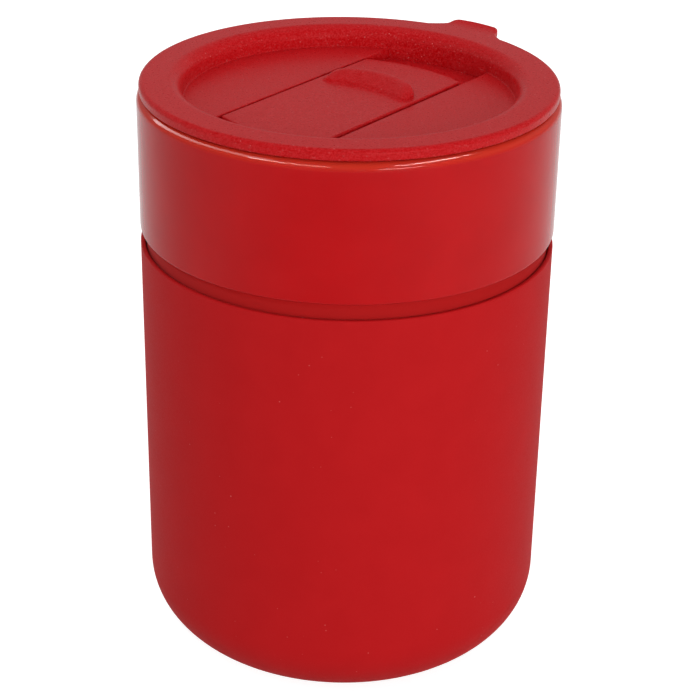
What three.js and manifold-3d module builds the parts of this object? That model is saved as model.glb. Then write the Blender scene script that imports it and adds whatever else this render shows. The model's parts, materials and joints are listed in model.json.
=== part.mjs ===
// A lidded travel mug: a glazed ceramic cup in a silicone sleeve, closed by a plug-in lid with a shutter.
// Millimetres, +Z up. The origin is on the mug's axis, at the table. The lid's sip hole is towards -Y, its
// lift tab towards +Y, and the shutter slides along Y between them.

import * as THREE from "three";
import { mergeVertices } from "three/addons/utils/BufferGeometryUtils.js";
import Module from "manifold-3d";

const wasm = await Module();
wasm.setup();

// Whole mug
const BODY_RADIUS = 36; // outside of the glazed band and of the sleeve, which lie flush
const RIM_HEIGHT = 102.35; // table to the ceramic rim

// Ceramic cup
const BAND_HEIGHT = 23.8; // bare glazed band above the sleeve
const BAND_LIP_ROUND = 2.4; // outer rounding of the rim
const BAND_FOOT_ROUND = 0.4; // rounding where the band steps in
const RIM_INNER_ROUND = 1.2;
const BAND_WALL = 5; // wall of the band, round the mouth
const MOUTH_RADIUS = BODY_RADIUS - BAND_WALL;
const MOUTH_DEPTH = 14; // straight bore that the lid plugs into
const MOUTH_TAPER = 20; // below that, the bore narrows over this height
const CUP_WALL = 4.5; // wall inside the sleeve
const CUP_FLOOR = 5;
const CUP_INNER_CORNER = 9;

// Silicone sleeve
const SLEEVE_GAP = 2.75; // open groove between band and sleeve
const SLEEVE_WALL = 0.8;
const SLEEVE_BASE = 2;
const SLEEVE_CORNER = 11.5; // outside rounding at the table
const SLEEVE_LIP_ROUND = 0.3;
const STRETCH_CLEARANCE = 0.2; // stands in for the stretch fit on the cup

// Lid: flange, well and plug
const SEAT_CLEARANCE = 0.2; // flange above the ceramic rim
const FLANGE_INSET = 0.45; // flange edge inside the band
const FLANGE_RADIUS = BODY_RADIUS - FLANGE_INSET;
const FLANGE_THICKNESS = 1.9;
const FLANGE_TOP_ROUND = 0.8;
const FLANGE_UNDER_ROUND = 0.4;
const PLUG_CLEARANCE = 0.8; // plug wall to the mouth
const WELL_WALL = 1.7; // plug's outside to the well
const WELL_RADIUS = MOUTH_RADIUS - PLUG_CLEARANCE - WELL_WALL; // where the wall would meet the flange's top
const WELL_EDGE_ROUND = 2.3;
const WELL_DEPTH = 3.6;
const WELL_DRAFT = 0.3; // radius that the wall loses down to the floor
const WELL_FLOOR_ROUND = 0.5;
const LID_FLOOR = 1.5; // moulded thickness of every floor
const PLUG_WALL = 2;
const PLUG_DEPTH = 10;
const PLUG_EDGE_ROUND = 0.6;

// Lid: channel for the shutter, with its sip hole and guide slot
const CHANNEL_WIDTH = 21.6;
const CHANNEL_DEPTH = 1.85; // below the well's floor
const CHANNEL_END_LAND = 0.1; // left between the channel's ends and the foot of the well's wall
const SIP_WIDTH = 13;
const SIP_LENGTH = 7.4;
const SIP_EDGE = 0.9; // floor left between the hole and the channel's end
const SIP_CORNER = 2.4;
const SLOT_WIDTH = 6;
const SLOT_CORNER = 1;

// Lid: lift tab
const TAB_LENGTH = 3.75; // tip beyond the flange
const TAB_REACH = FLANGE_RADIUS + TAB_LENGTH; // axis to the tip
const TAB_WIDTH = 9.8;
const TAB_ROOT_WIDTH = 22; // where its hollow sides run into the flange
const TAB_FLARE = 1; // beyond the flange, where the lines of those sides would meet
const TAB_CORNER = 1.8;
const TAB_THICKNESS = 1.5;
const TAB_BEND = 1.5; // beyond the flange, where the tip turns up
const TAB_BEND_RADIUS = 3;
const TAB_RISE = 0.8; // tip above the flange's top
const TAB_ROOT_DEPTH = 3; // length that is buried in the flange
const TAB_SINK = 0.05; // root below the flange's top
const TAB_BOW = 0.3; // how far the tip bows out between its corners
const TAB_EDGE = 0.45; // rounding of the tip

// Lid: seal
const SEAL_DROP = 3.4; // flange to the seal's groove
const SEAL_HEIGHT = 3.8;
const SEAL_GROOVE_DEPTH = 1.1;
const SEAL_FIT = 0.15; // seal to the groove, on each face
const SEAL_LIPS = 2;
const SEAL_MOUTH_CLEARANCE = 0.2; // lips to the mouth, in place of their squeeze
const SEAL_LIP_REACH = 0.7; // lips beyond the band that carries them
const SEAL_LIP_TIP = 0.3; // height of a lip's tip

// Shutter
const SLIDER_CLOSE_TRAVEL = 4.4; // towards the sip side, from where it stands
const SLIDER_OPEN_TRAVEL = 7.5; // towards the tab
const SLIDER_SIDE_CLEARANCE = 0.62;
const SLIDER_END_CLEARANCE = 0.3;
const SLIDE_CLEARANCE = 0.3; // above the channel's floor, and of the hooks below it
const SLIDER_PROUD = 0.15; // top above the well's floor
const SLIDER_EDGE = 0.3; // bevel round the plate
const RIDGE_SPAN = 18.4; // thumb ridge, across the shutter
const RIDGE_WIDTH = 4.2; // from the foot of its face to its back edge
const RIDGE_MIDDLE = 8.2; // axis to the middle of that width
const RIDGE_BOW = 2.7; // how far it curves forward at the ends
const RIDGE_HEIGHT = 1.8;
const RIDGE_SAG = 0.2; // share of the height that its ends lose
const RIDGE_CREST = 0.74; // crest's place between foot and back edge
const RIDGE_SCOOP = 1.1; // hollowness of the face: 1 is a plain slope
const RIDGE_END = 5; // how squarely its ends are rounded: 2 is an ellipse
const RIDGE_TIP = 0.2; // share of width and height left where its ends are cut blunt
const RIDGE_SINK = 0.2; // depth that the ridge's skirt runs into the plate
const LEG_LENGTH = 9;
const LEG_THICKNESS = 1.3;
const LEG_CLEARANCE = 0.3; // leg to the slot's sides and ends
const HOOK_REACH = 1.1;
const HOOK_HEIGHT = 1.4;
const HOOK_LAND = 0.4; // upright edge of the hook

// Facets
const ROUND_STEPS = 60;
const CHORD_ERROR = 0.05; // most that a facet cuts inside a rounded corner
const WIDE_ARC_STEPS = 12;
const CURVE_STEPS = 4;
const RIDGE_STEPS_ACROSS = 18;
const RIDGE_STEPS_ALONG = 10;
const MERGE_TOLERANCE = 1e-4; // corners closer than this are one

// Most that a rounding takes of the step that it turns, or of the wall whose two edges it rounds
const STEP_SHARE = 0.9;
const WALL_SHARE = 0.45;

// Heights and radii that several pieces share
const bandFoot = RIM_HEIGHT - BAND_HEIGHT;
const neckRadius = BODY_RADIUS - SLEEVE_WALL - STRETCH_CLEARANCE;
const flangeUnder = RIM_HEIGHT + SEAT_CLEARANCE;
const lidTop = flangeUnder + FLANGE_THICKNESS;
const wellFloor = lidTop - WELL_DEPTH;
const plugRadius = MOUTH_RADIUS - PLUG_CLEARANCE;
const wellFoot = WELL_RADIUS - WELL_DRAFT;
const channelFloor = wellFloor - CHANNEL_DEPTH;
const channelEnd = wellFoot - CHANNEL_END_LAND;
const lidUnder = channelFloor - LID_FLOOR;
const grooveRadius = plugRadius - SEAL_GROOVE_DEPTH;
const grooveTop = flangeUnder - SEAL_DROP;
const grooveFoot = grooveTop - SEAL_HEIGHT - 2 * SEAL_FIT;
const sliderEndRadius = channelEnd - SLIDER_END_CLEARANCE;
const sliderHalfWidth = CHANNEL_WIDTH / 2 - SLIDER_SIDE_CLEARANCE;
const sliderUnder = channelFloor + SLIDE_CLEARANCE;
const sliderTop = wellFloor + SLIDER_PROUD;

// An outline through corners [x, y, radius], where a radius turns the corner into its tangent arc.
function outline(corners) {
  return corners.flatMap(([x, y, radius = 0], i) => {
    const corner = new THREE.Vector2(x, y);
    if (radius === 0) return [corner];
    const [lastX, lastY] = corners.at(i - 1);
    const [nextX, nextY] = corners[(i + 1) % corners.length];
    const back = new THREE.Vector2(lastX, lastY).sub(corner).normalize();
    const ahead = new THREE.Vector2(nextX, nextY).sub(corner).normalize();
    const half = back.angleTo(ahead) / 2;
    const inward = back.clone().add(ahead).normalize();
    const centre = inward.multiplyScalar(radius / Math.sin(half)).add(corner);
    const start = back.clone().multiplyScalar(radius / Math.tan(half)).add(corner).sub(centre);
    const turn = Math.sign(ahead.cross(back)) * (Math.PI - 2 * half);
    const steps = Math.ceil(Math.abs(turn) / (2 * Math.acos(1 - CHORD_ERROR / radius)));
    const pivot = new THREE.Vector2();
    const arcPoint = (_, k) => start.clone().rotateAround(pivot, (turn * k) / steps).add(centre);
    return Array.from({ length: steps + 1 }, arcPoint);
  });
}

// A profile of [radius, height, round] corners turned about the mug's axis.
function turned(corners) {
  return new THREE.LatheGeometry(outline(corners), ROUND_STEPS).rotateX(Math.PI / 2);
}

// A plan outline raised from one height to another.
function raised(points, from, to) {
  const options = { depth: to - from, bevelEnabled: false, curveSegments: WIDE_ARC_STEPS };
  return new THREE.ExtrudeGeometry(new THREE.Shape(points), options).translate(0, 0, from);
}

// Extrusion settings that round an extrusion's edges and keep its plan as drawn.
function roundEdges(edge) {
  return { bevelSize: edge, bevelThickness: edge, bevelOffset: -edge, bevelSegments: 2 };
}

// The plan of a strip along Y whose two ends are arcs of one radius, each about its own centre on the Y axis.
function strip(halfWidth, radius, frontCentre, backCentre) {
  const halfAngle = Math.asin(halfWidth / radius);
  const end = (centre, direction) => {
    const arcPoint = (_, k) => {
      const angle = direction * Math.PI / 2 + halfAngle * ((2 * k) / WIDE_ARC_STEPS - 1);
      return new THREE.Vector2(radius * Math.cos(angle), centre + radius * Math.sin(angle));
    };
    return Array.from({ length: WIDE_ARC_STEPS + 1 }, arcPoint);
  };
  return [...end(frontCentre, -1), ...end(backCentre, 1)];
}

// The plan of a rectangle between two values of Y, with rounded corners.
function slotPlan(width, front, back, corner) {
  const half = width / 2;
  return outline([
    [-half, front, corner],
    [half, front, corner],
    [half, back, corner],
    [-half, back, corner],
  ]);
}

// A closed geometry as a solid that can be joined and cut, and back again.
function solid(geometry) {
  const bare = new THREE.BufferGeometry();
  bare.setAttribute("position", geometry.getAttribute("position"));
  bare.setIndex(geometry.index);
  const merged = mergeVertices(bare, MERGE_TOLERANCE);
  const vertProperties = new Float32Array(merged.getAttribute("position").array);
  const triVerts = new Uint32Array(merged.index.array);
  return new wasm.Manifold(new wasm.Mesh({ numProp: 3, vertProperties, triVerts }));
}

function surface(body) {
  const { vertProperties, triVerts } = body.getMesh();
  const geometry = new THREE.BufferGeometry();
  geometry.setAttribute("position", new THREE.BufferAttribute(vertProperties, 3));
  geometry.setIndex(new THREE.BufferAttribute(triVerts, 1));
  geometry.computeVertexNormals();
  return geometry;
}

// The cup: a rounded base and a straight wall in the sleeve, then the full-width glazed band up to the rim.
function ceramicCup() {
  const base = SLEEVE_BASE + STRETCH_CLEARANCE;
  const corner = SLEEVE_CORNER - SLEEVE_WALL - STRETCH_CLEARANCE;
  const footRound = Math.min(BAND_FOOT_ROUND, STEP_SHARE * (BODY_RADIUS - neckRadius));
  const boreRadius = neckRadius - CUP_WALL;
  const mouthFoot = RIM_HEIGHT - MOUTH_DEPTH;
  const floor = base + CUP_FLOOR;
  return turned([
    [0, base],
    [neckRadius, base, corner],
    [neckRadius, bandFoot],
    [BODY_RADIUS, bandFoot, footRound],
    [BODY_RADIUS, RIM_HEIGHT, BAND_LIP_ROUND],
    [MOUTH_RADIUS, RIM_HEIGHT, RIM_INNER_ROUND],
    [MOUTH_RADIUS, mouthFoot],
    [boreRadius, mouthFoot - MOUTH_TAPER],
    [boreRadius, floor, CUP_INNER_CORNER],
    [0, floor],
  ]);
}

// The sleeve: an even shell round the cup's wall and base, with a rounded lip below the band.
function siliconeSleeve() {
  const top = bandFoot - SLEEVE_GAP;
  const lip = Math.min(SLEEVE_LIP_ROUND, WALL_SHARE * SLEEVE_WALL);
  const innerRadius = BODY_RADIUS - SLEEVE_WALL;
  return turned([
    [0, 0],
    [BODY_RADIUS, 0, SLEEVE_CORNER],
    [BODY_RADIUS, top, lip],
    [innerRadius, top, lip],
    [innerRadius, SLEEVE_BASE, SLEEVE_CORNER - SLEEVE_WALL],
    [0, SLEEVE_BASE],
  ]);
}

// The lift tab, as a solid: a strip whose tip is bent up, trimmed to a tongue with hollow sides.
function liftTab() {
  const root = FLANGE_RADIUS - TAB_ROOT_DEPTH;
  const half = TAB_WIDTH / 2;
  const rootHalf = TAB_ROOT_WIDTH / 2;
  const shoulder = TAB_REACH - TAB_CORNER;
  const corner = TAB_REACH - TAB_BOW / 2;
  const flare = FLANGE_RADIUS + TAB_FLARE;
  const plan = new THREE.Shape();
  plan.moveTo(-rootHalf, root);
  plan.lineTo(rootHalf, root);
  plan.quadraticCurveTo(half, flare, half, shoulder);
  plan.quadraticCurveTo(half, corner, half - TAB_CORNER, corner);
  plan.quadraticCurveTo(0, TAB_REACH + TAB_BOW / 2, TAB_CORNER - half, corner);
  plan.quadraticCurveTo(-half, corner, -half, shoulder);
  plan.quadraticCurveTo(-half, flare, -rootHalf, root);
  const tipTop = lidTop + TAB_RISE;
  const top = lidTop - TAB_SINK;
  const foot = top - TAB_THICKNESS;
  const bend = FLANGE_RADIUS + TAB_BEND;
  const edge = Math.min(TAB_EDGE, WALL_SHARE * TAB_THICKNESS);
  const section = outline([
    [root, foot],
    [bend, foot, TAB_BEND_RADIUS + TAB_THICKNESS],
    [TAB_REACH, tipTop - TAB_THICKNESS, edge],
    [TAB_REACH, tipTop, edge],
    [bend, top, TAB_BEND_RADIUS],
    [root, top],
  ]);
  const bentStrip = raised(section, -rootHalf, rootHalf).rotateX(Math.PI / 2).rotateZ(Math.PI / 2);
  return solid(bentStrip).intersect(solid(raised(plan.getPoints(CURVE_STEPS), foot, tipTop)));
}

// The lid: a flange over the rim, a well with a channel across it, and a hollow plug with a seal groove.
function lidBody() {
  const turnedLid = turned([
    [0, lidUnder],
    [plugRadius - PLUG_WALL, lidUnder],
    [plugRadius - PLUG_WALL, flangeUnder - PLUG_DEPTH],
    [plugRadius, flangeUnder - PLUG_DEPTH, PLUG_EDGE_ROUND],
    [plugRadius, grooveFoot],
    [grooveRadius, grooveFoot],
    [grooveRadius, grooveTop],
    [plugRadius, grooveTop],
    [plugRadius, flangeUnder],
    [FLANGE_RADIUS, flangeUnder, FLANGE_UNDER_ROUND],
    [FLANGE_RADIUS, lidTop, FLANGE_TOP_ROUND],
    [WELL_RADIUS, lidTop, WELL_EDGE_ROUND],
    [wellFoot, wellFloor, WELL_FLOOR_ROUND],
    [0, wellFloor],
  ]);
  const channel = raised(strip(CHANNEL_WIDTH / 2, channelEnd, 0, 0), channelFloor, lidTop);
  const sipFront = SIP_EDGE - channelEnd;
  const sipPlan = slotPlan(SIP_WIDTH, sipFront, sipFront + SIP_LENGTH, SIP_CORNER);
  const sip = raised(sipPlan, lidUnder - LID_FLOOR, lidTop);
  const slotFront = -LEG_LENGTH / 2 - SLIDER_CLOSE_TRAVEL - LEG_CLEARANCE;
  const slotBack = LEG_LENGTH / 2 + SLIDER_OPEN_TRAVEL + LEG_CLEARANCE;
  const guidePlan = slotPlan(SLOT_WIDTH, slotFront, slotBack, SLOT_CORNER);
  const guide = raised(guidePlan, lidUnder - LID_FLOOR, lidTop);
  let lid = solid(turnedLid).add(liftTab());
  for (const cut of [channel, sip, guide, sidePocket(1), sidePocket(-1)]) lid = lid.subtract(solid(cut));
  return surface(lid);
}

// The hollow under one raised side of the well, which keeps the lid's floor at one thickness.
function sidePocket(side) {
  const radius = plugRadius - PLUG_WALL - LID_FLOOR;
  const edge = CHANNEL_WIDTH / 2 + LID_FLOOR;
  const halfAngle = Math.acos(edge / radius);
  const middle = side > 0 ? 0 : Math.PI;
  const arcPoint = (_, k) => {
    const angle = middle + halfAngle * ((2 * k) / WIDE_ARC_STEPS - 1);
    return new THREE.Vector2(radius * Math.cos(angle), radius * Math.sin(angle));
  };
  const plan = Array.from({ length: WIDE_ARC_STEPS + 1 }, arcPoint);
  return raised(plan, lidUnder - LID_FLOOR, wellFloor - LID_FLOOR);
}

// The seal: a silicone band in the plug's groove, with lips that wipe the mouth.
function lidSeal() {
  const inner = grooveRadius + SEAL_FIT;
  const tip = MOUTH_RADIUS - SEAL_MOUTH_CLEARANCE;
  const carrier = tip - SEAL_LIP_REACH;
  const foot = grooveFoot + SEAL_FIT;
  const pitch = SEAL_HEIGHT / SEAL_LIPS;
  const lips = Array.from({ length: SEAL_LIPS }, (_, k) => {
    const middle = foot + (k + 0.5) * pitch;
    return [
      [carrier, middle - SEAL_LIP_REACH],
      [tip, middle - SEAL_LIP_TIP / 2],
      [tip, middle + SEAL_LIP_TIP / 2],
      [carrier, middle + SEAL_LIP_REACH],
    ];
  });
  const top = foot + SEAL_HEIGHT;
  const start = [inner, foot];
  return turned([start, [carrier, foot], ...lips.flat(), [carrier, top], [inner, top], start]);
}

// The thumb ridge: a bowed bead with rounded ends. Its face rises from a foot to a crest near its back edge.
function thumbRidge() {
  const rows = RIDGE_STEPS_ACROSS + 1;
  const columns = RIDGE_STEPS_ALONG + 1;
  const half = RIDGE_SPAN / 2;
  const bowRadius = (half ** 2 + RIDGE_BOW ** 2) / (2 * RIDGE_BOW);
  const corners = [];
  const crown = [];
  for (let i = 0; i < rows; i += 1) {
    const across = (2 * i) / RIDGE_STEPS_ACROSS - 1;
    const share = Math.sin((across * Math.PI) / 2);
    const x = half * share;
    const middle = RIDGE_MIDDLE - bowRadius + Math.sqrt(bowRadius ** 2 - x ** 2);
    const ends = Math.sqrt(1 - (1 - RIDGE_TIP ** 2) * Math.abs(share) ** RIDGE_END);
    const height = RIDGE_HEIGHT * (1 - RIDGE_SAG * share ** 2) * ends;
    for (let j = 0; j < columns; j += 1) {
      const along = j / RIDGE_STEPS_ALONG;
      const rise = (along / RIDGE_CREST) ** RIDGE_SCOOP;
      const fall = Math.sqrt(Math.max(0, 1 - ((along - RIDGE_CREST) / (1 - RIDGE_CREST)) ** 2));
      const swell = along < RIDGE_CREST ? rise : fall;
      corners.push([x, middle + RIDGE_WIDTH * ends * (along - 0.5)]);
      crown.push(sliderTop - RIDGE_SINK / 2 + (height + RIDGE_SINK / 2) * swell);
    }
  }
  const count = rows * columns;
  const positions = new Float32Array(6 * count);
  corners.forEach(([x, y], k) => {
    positions.set([x, y, crown[k]], 3 * k);
    positions.set([x, y, sliderTop - RIDGE_SINK], 3 * (count + k));
  });
  const index = [];
  const quad = (a, b, c, d) => index.push(a, b, c, a, c, d);
  for (let i = 0; i + 1 < rows; i += 1) {
    for (let j = 0; j + 1 < columns; j += 1) {
      const a = i * columns + j;
      const b = a + columns;
      quad(a, b, b + 1, a + 1);
      quad(count + a, count + a + 1, count + b + 1, count + b);
    }
    const front = i * columns;
    const back = front + columns - 1;
    quad(front + columns, front, count + front, count + front + columns);
    quad(back, back + columns, count + back + columns, count + back);
  }
  for (let j = 0; j + 1 < columns; j += 1) {
    const last = (rows - 1) * columns + j;
    quad(j, j + 1, count + j + 1, count + j);
    quad(last + 1, last, count + last, count + last + 1);
  }
  const ridge = new THREE.BufferGeometry();
  ridge.setAttribute("position", new THREE.BufferAttribute(positions, 3));
  ridge.setIndex(index);
  return ridge;
}

// A snap leg of the shutter: it hangs through the guide slot and hooks under the lid's floor.
function snapLeg(side) {
  const outer = SLOT_WIDTH / 2 - LEG_CLEARANCE;
  const inner = outer - LEG_THICKNESS;
  const hookTop = lidUnder - SLIDE_CLEARANCE;
  const hookFoot = hookTop - HOOK_HEIGHT;
  const root = (sliderUnder + sliderTop) / 2;
  const section = [
    [inner, root],
    [outer, root],
    [outer, hookTop],
    [outer + HOOK_REACH, hookTop],
    [outer + HOOK_REACH, hookTop - HOOK_LAND],
    [outer, hookFoot],
    [inner, hookFoot],
  ].map(([x, z]) => new THREE.Vector2(side * x, z));
  return raised(section, -LEG_LENGTH / 2, LEG_LENGTH / 2).rotateX(Math.PI / 2);
}

// The shutter: a bevelled plate with ends that match the channel's, the ridge on top and two legs below.
function lidSlider() {
  const frontCentre = SLIDER_CLOSE_TRAVEL;
  const backCentre = -SLIDER_OPEN_TRAVEL;
  const plan = strip(sliderHalfWidth, sliderEndRadius, frontCentre, backCentre);
  const depth = sliderTop - sliderUnder - 2 * SLIDER_EDGE;
  const plate = new THREE.ExtrudeGeometry(new THREE.Shape(plan), { depth, ...roundEdges(SLIDER_EDGE) });
  plate.translate(0, 0, sliderUnder + SLIDER_EDGE);
  let shutter = solid(plate);
  for (const piece of [thumbRidge(), snapLeg(1), snapLeg(-1)]) shutter = shutter.add(solid(piece));
  return surface(shutter);
}

const redGlaze = { color: 0xb81a1c, roughness: 0.12, metalness: 0 };
const redSilicone = { color: 0xb41d20, roughness: 0.62, metalness: 0 };
const redPlastic = { color: 0xb9191e, roughness: 0.5, metalness: 0 };

const mug = new THREE.Group();
mug.name = "mug_with_lid";
const pieces = [
  ["ceramic_cup", ceramicCup(), redGlaze],
  ["silicone_sleeve", siliconeSleeve(), redSilicone],
  ["lid_body", lidBody(), redPlastic],
  ["lid_seal", lidSeal(), redSilicone],
  ["lid_slider", lidSlider(), redPlastic],
];
for (const [name, geometry, finish] of pieces) {
  const mesh = new THREE.Mesh(geometry, new THREE.MeshStandardMaterial(finish));
  mesh.name = name;
  mug.add(mesh);
}

export default mug;
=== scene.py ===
# %% [markdown]
# A lidded mug, dressed in Blender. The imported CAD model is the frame: it says where every piece is and how
# it moves. This lesson builds a finer surface for each of its five pieces, gives each one its finish, and
# lights the whole on a pale floor. All lengths are in metres, with +Z up and the mug's axis at the origin.

# %% Load the frame
import json
import math

import bmesh
import bpy
import numpy as np
from mathutils import Matrix, Quaternion, Vector


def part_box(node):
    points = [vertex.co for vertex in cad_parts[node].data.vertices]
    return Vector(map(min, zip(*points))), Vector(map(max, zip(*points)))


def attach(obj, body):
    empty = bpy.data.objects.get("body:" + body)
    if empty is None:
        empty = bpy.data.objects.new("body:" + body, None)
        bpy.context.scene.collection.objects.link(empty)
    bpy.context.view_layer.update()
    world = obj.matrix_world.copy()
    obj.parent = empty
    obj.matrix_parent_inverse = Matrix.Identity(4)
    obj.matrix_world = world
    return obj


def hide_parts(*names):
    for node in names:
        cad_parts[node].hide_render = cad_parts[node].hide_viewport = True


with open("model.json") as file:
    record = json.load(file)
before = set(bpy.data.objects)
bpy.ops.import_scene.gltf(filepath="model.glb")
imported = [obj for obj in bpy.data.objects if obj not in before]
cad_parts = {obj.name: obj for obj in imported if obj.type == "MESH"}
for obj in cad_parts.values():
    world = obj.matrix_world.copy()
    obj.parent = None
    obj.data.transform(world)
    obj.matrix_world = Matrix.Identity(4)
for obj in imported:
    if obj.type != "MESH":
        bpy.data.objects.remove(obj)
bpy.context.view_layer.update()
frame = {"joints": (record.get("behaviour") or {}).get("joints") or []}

MM = 0.001

# %% [markdown]
# The camera comes first, because every later choice was matched to the photograph through it. It stands
# in front of the mug, to the right of the sip side, and looks down on the lid through a long lens. The
# photograph leans by about a degree, so the camera is rolled by that much instead of tilting the mug. Angles
# are in degrees, and the lamps will be placed from the camera's own direction too.

# %% Camera
PICTURE_PIXELS = 700
FOCAL_PIXELS = 1899.5
SENSOR_WIDTH = 36.0
CAMERA_AZIMUTH = 36.8
CAMERA_ELEVATION = 26.89
CAMERA_ROLL = 1.06
CAMERA_DISTANCE = 345 * MM
ORBIT_CENTRE = Vector((0, 0, 50.03 * MM))
AIM = Vector((0, 1.52 * MM, 52.25 * MM))


def towards(turn, elevation):
    """The unit vector at an angle from the camera's own azimuth, and at an elevation."""
    azimuth = math.radians(CAMERA_AZIMUTH + turn)
    rise = math.radians(elevation)
    return Vector((math.sin(azimuth) * math.cos(rise), -math.cos(azimuth) * math.cos(rise), math.sin(rise)))


lens = bpy.data.cameras.new("camera")
lens.sensor_width = SENSOR_WIDTH
lens.lens = SENSOR_WIDTH * FOCAL_PIXELS / PICTURE_PIXELS
camera = bpy.data.objects.new("camera", lens)
camera.location = ORBIT_CENTRE + CAMERA_DISTANCE * towards(0, CAMERA_ELEVATION)
gaze = (AIM - camera.location).to_track_quat("-Z", "Y")
camera.rotation_mode = "QUATERNION"
camera.rotation_quaternion = gaze @ Quaternion((0, 0, 1), math.radians(CAMERA_ROLL))
bpy.context.scene.collection.objects.link(camera)
bpy.context.scene.camera = camera
print("camera:", [round(v, 4) for v in camera.location], "lens", round(lens.lens, 2), "mm")

# %% [markdown]
# Most of the mug is round about its axis, so a profile that is drawn once and turned about that axis makes
# it, as on a lathe. A good profile is a few corners, each with the radius of its rounding, and the helpers
# below turn such corners into points. A Bevel modifier could round the edges afterwards, but then a long
# glossy wall would share its shading with the small faces of the bevel. Points that crowd together at both
# ends of each straight run keep the reflections on the wall straight.

# %% Profiles
ARC_STEPS = 8
ARC_STRIDE = 0.4 * MM
RUN_STEPS = 8


def unit(vector):
    """The vector divided by its own length."""
    return vector / np.linalg.norm(vector)


def crowded(steps):
    """Shares from 0 to 1 that follow half a cosine wave, so they crowd together at both ends."""
    return 0.5 - 0.5 * np.cos(np.linspace(0, np.pi, steps + 1))


def corner_arc(before, here, after, radius):
    """The arc that rounds one corner.

    The centre lies on the corner's bisector, radius / sin(half angle) away, and the arc starts
    radius / tan(half angle) along the first leg, then turns by what is left of a straight angle. A large
    arc has a step for each stride of its radius, so that its outline stays smooth.
    """
    back = unit(before - here)
    ahead = unit(after - here)
    half = 0.5 * np.arccos(np.clip(back @ ahead, -1, 1))
    centre = here + unit(back + ahead) * radius / np.sin(half)
    spoke = here + back * radius / np.tan(half) - centre
    side = np.sign(ahead[0] * back[1] - ahead[1] * back[0])
    across = side * np.array([-spoke[1], spoke[0]])
    steps = max(ARC_STEPS, round(radius / ARC_STRIDE))
    share = np.linspace(0, 1, steps + 1)[:, None]
    angle = share * (np.pi - 2 * half)
    return centre + spoke * np.cos(angle) + across * np.sin(angle)


def rounded_profile(corners, closed=False):
    """Points along corners, each given as (radius, height) or as (radius, height, radius of its rounding).

    On the straight run between two corners, the points crowd together at both ends.
    """
    spots = np.array([corner[:2] for corner in corners], float)
    rounds = [corner[2] if len(corner) > 2 else 0 for corner in corners]
    bends = []
    for i, radius in enumerate(rounds):
        if radius == 0:
            bends.append(spots[i][None])
        else:
            bends.append(corner_arc(spots[i - 1], spots[i], spots[(i + 1) % len(spots)], radius))
    if closed:
        bends.append(bends[0][:1])
    between = crowded(RUN_STEPS)[1:-1, None]
    line = [bends[0]]
    for last, points in zip(bends, bends[1:]):
        line += [last[-1] + (points[0] - last[-1]) * between, points]
    return np.concatenate(line)


# %% [markdown]
# A grid of points becomes a mesh when each point is joined to its neighbours. The helpers do that with whole
# index arrays, merge the points that meet at poles and seams, and turn all faces outwards. Weighted normals
# then let the large flat faces rule the shading, so flats stay flat beside small roundings.

# %% Grids and meshes
MERGE_DISTANCE = 0.0005 * MM
SHARP_ANGLE = math.radians(40)
TURN_STEPS = 256


def ring_faces(rows, columns):
    """The corners of all quads on a grid of points, with its last column joined to its first."""
    here = np.arange(rows * columns).reshape(rows, columns)
    beside = np.roll(here, -1, 1)
    return np.stack([here[:-1], here[1:], beside[1:], beside[:-1]], -1).reshape(-1, 4).tolist()


def tube_faces(rows, columns):
    """The faces of a grid that is joined round, with a cap over its first row and one over its last."""
    last = (rows - 1) * columns
    return ring_faces(rows, columns) + [list(range(columns)), list(range(last, last + columns))]


def clean(mesh):
    """Merges points that coincide, turns the faces outwards and shades all but sharp edges smoothly."""
    work = bmesh.new()
    work.from_mesh(mesh)
    bmesh.ops.remove_doubles(work, verts=work.verts, dist=MERGE_DISTANCE)
    bmesh.ops.recalc_face_normals(work, faces=work.faces)
    work.to_mesh(mesh)
    work.free()
    mesh.shade_smooth()
    mesh.set_sharp_from_angle(angle=SHARP_ANGLE)


def piece(name, points, faces):
    """An object from points and faces."""
    mesh = bpy.data.meshes.new(name)
    mesh.from_pydata(points.reshape(-1, 3), [], faces)
    clean(mesh)
    made = bpy.data.objects.new(name, mesh)
    bpy.context.scene.collection.objects.link(made)
    return made


def even_shading(made):
    """Gives the large faces the say over the normals that they share with small ones."""
    normals = made.modifiers.new("even shading", "WEIGHTED_NORMAL")
    normals.keep_sharp = True


def revolved(line, steps):
    """A profile turned about the Z axis: (r, z) goes to (r cos a, r sin a, z) for every angle a."""
    angle = np.linspace(0, 2 * np.pi, steps, endpoint=False)
    radius, height = line[:, :1], line[:, 1:]
    return np.stack(np.broadcast_arrays(radius * np.cos(angle), radius * np.sin(angle), height), -1)


def turned(name, corners, closed=False):
    """A piece that is a profile of rounded corners, turned about the Z axis."""
    rings = revolved(rounded_profile(corners, closed), TURN_STEPS)
    made = piece(name, rings, ring_faces(*rings.shape[:2]))
    even_shading(made)
    print(name, len(made.data.polygons), "faces")
    return made


# %% [markdown]
# The ceramic cup is slip-cast, with walls of nearly even thickness. Its top is a band as wide as the sleeve,
# and under the band it steps in to make room for the silicone. The rim is softly rounded outside, where the
# glaze runs thin. The narrow part has a matte dry coat instead of glaze, so that the silicone grips it, and a
# mark on each of its points tells the finish where it is. The finish also darkens that part's colour, which
# is painted shade for the groove under the band.

# %% Ceramic cup
BAND_HEIGHT = 23.8 * MM
BAND_LIP_ROUND = 1.4 * MM
BAND_FOOT_ROUND = 0.4 * MM
RIM_INNER_ROUND = 1.1 * MM
BAND_WALL = 5 * MM
MOUTH_DEPTH = 14 * MM
MOUTH_TAPER = 20 * MM
NECK_STEP = 1 * MM
CUP_WALL = 4.5 * MM
CUP_FLOOR = 5 * MM
CUP_CORNER = 10.5 * MM
CUP_INNER_CORNER = 9 * MM

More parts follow.
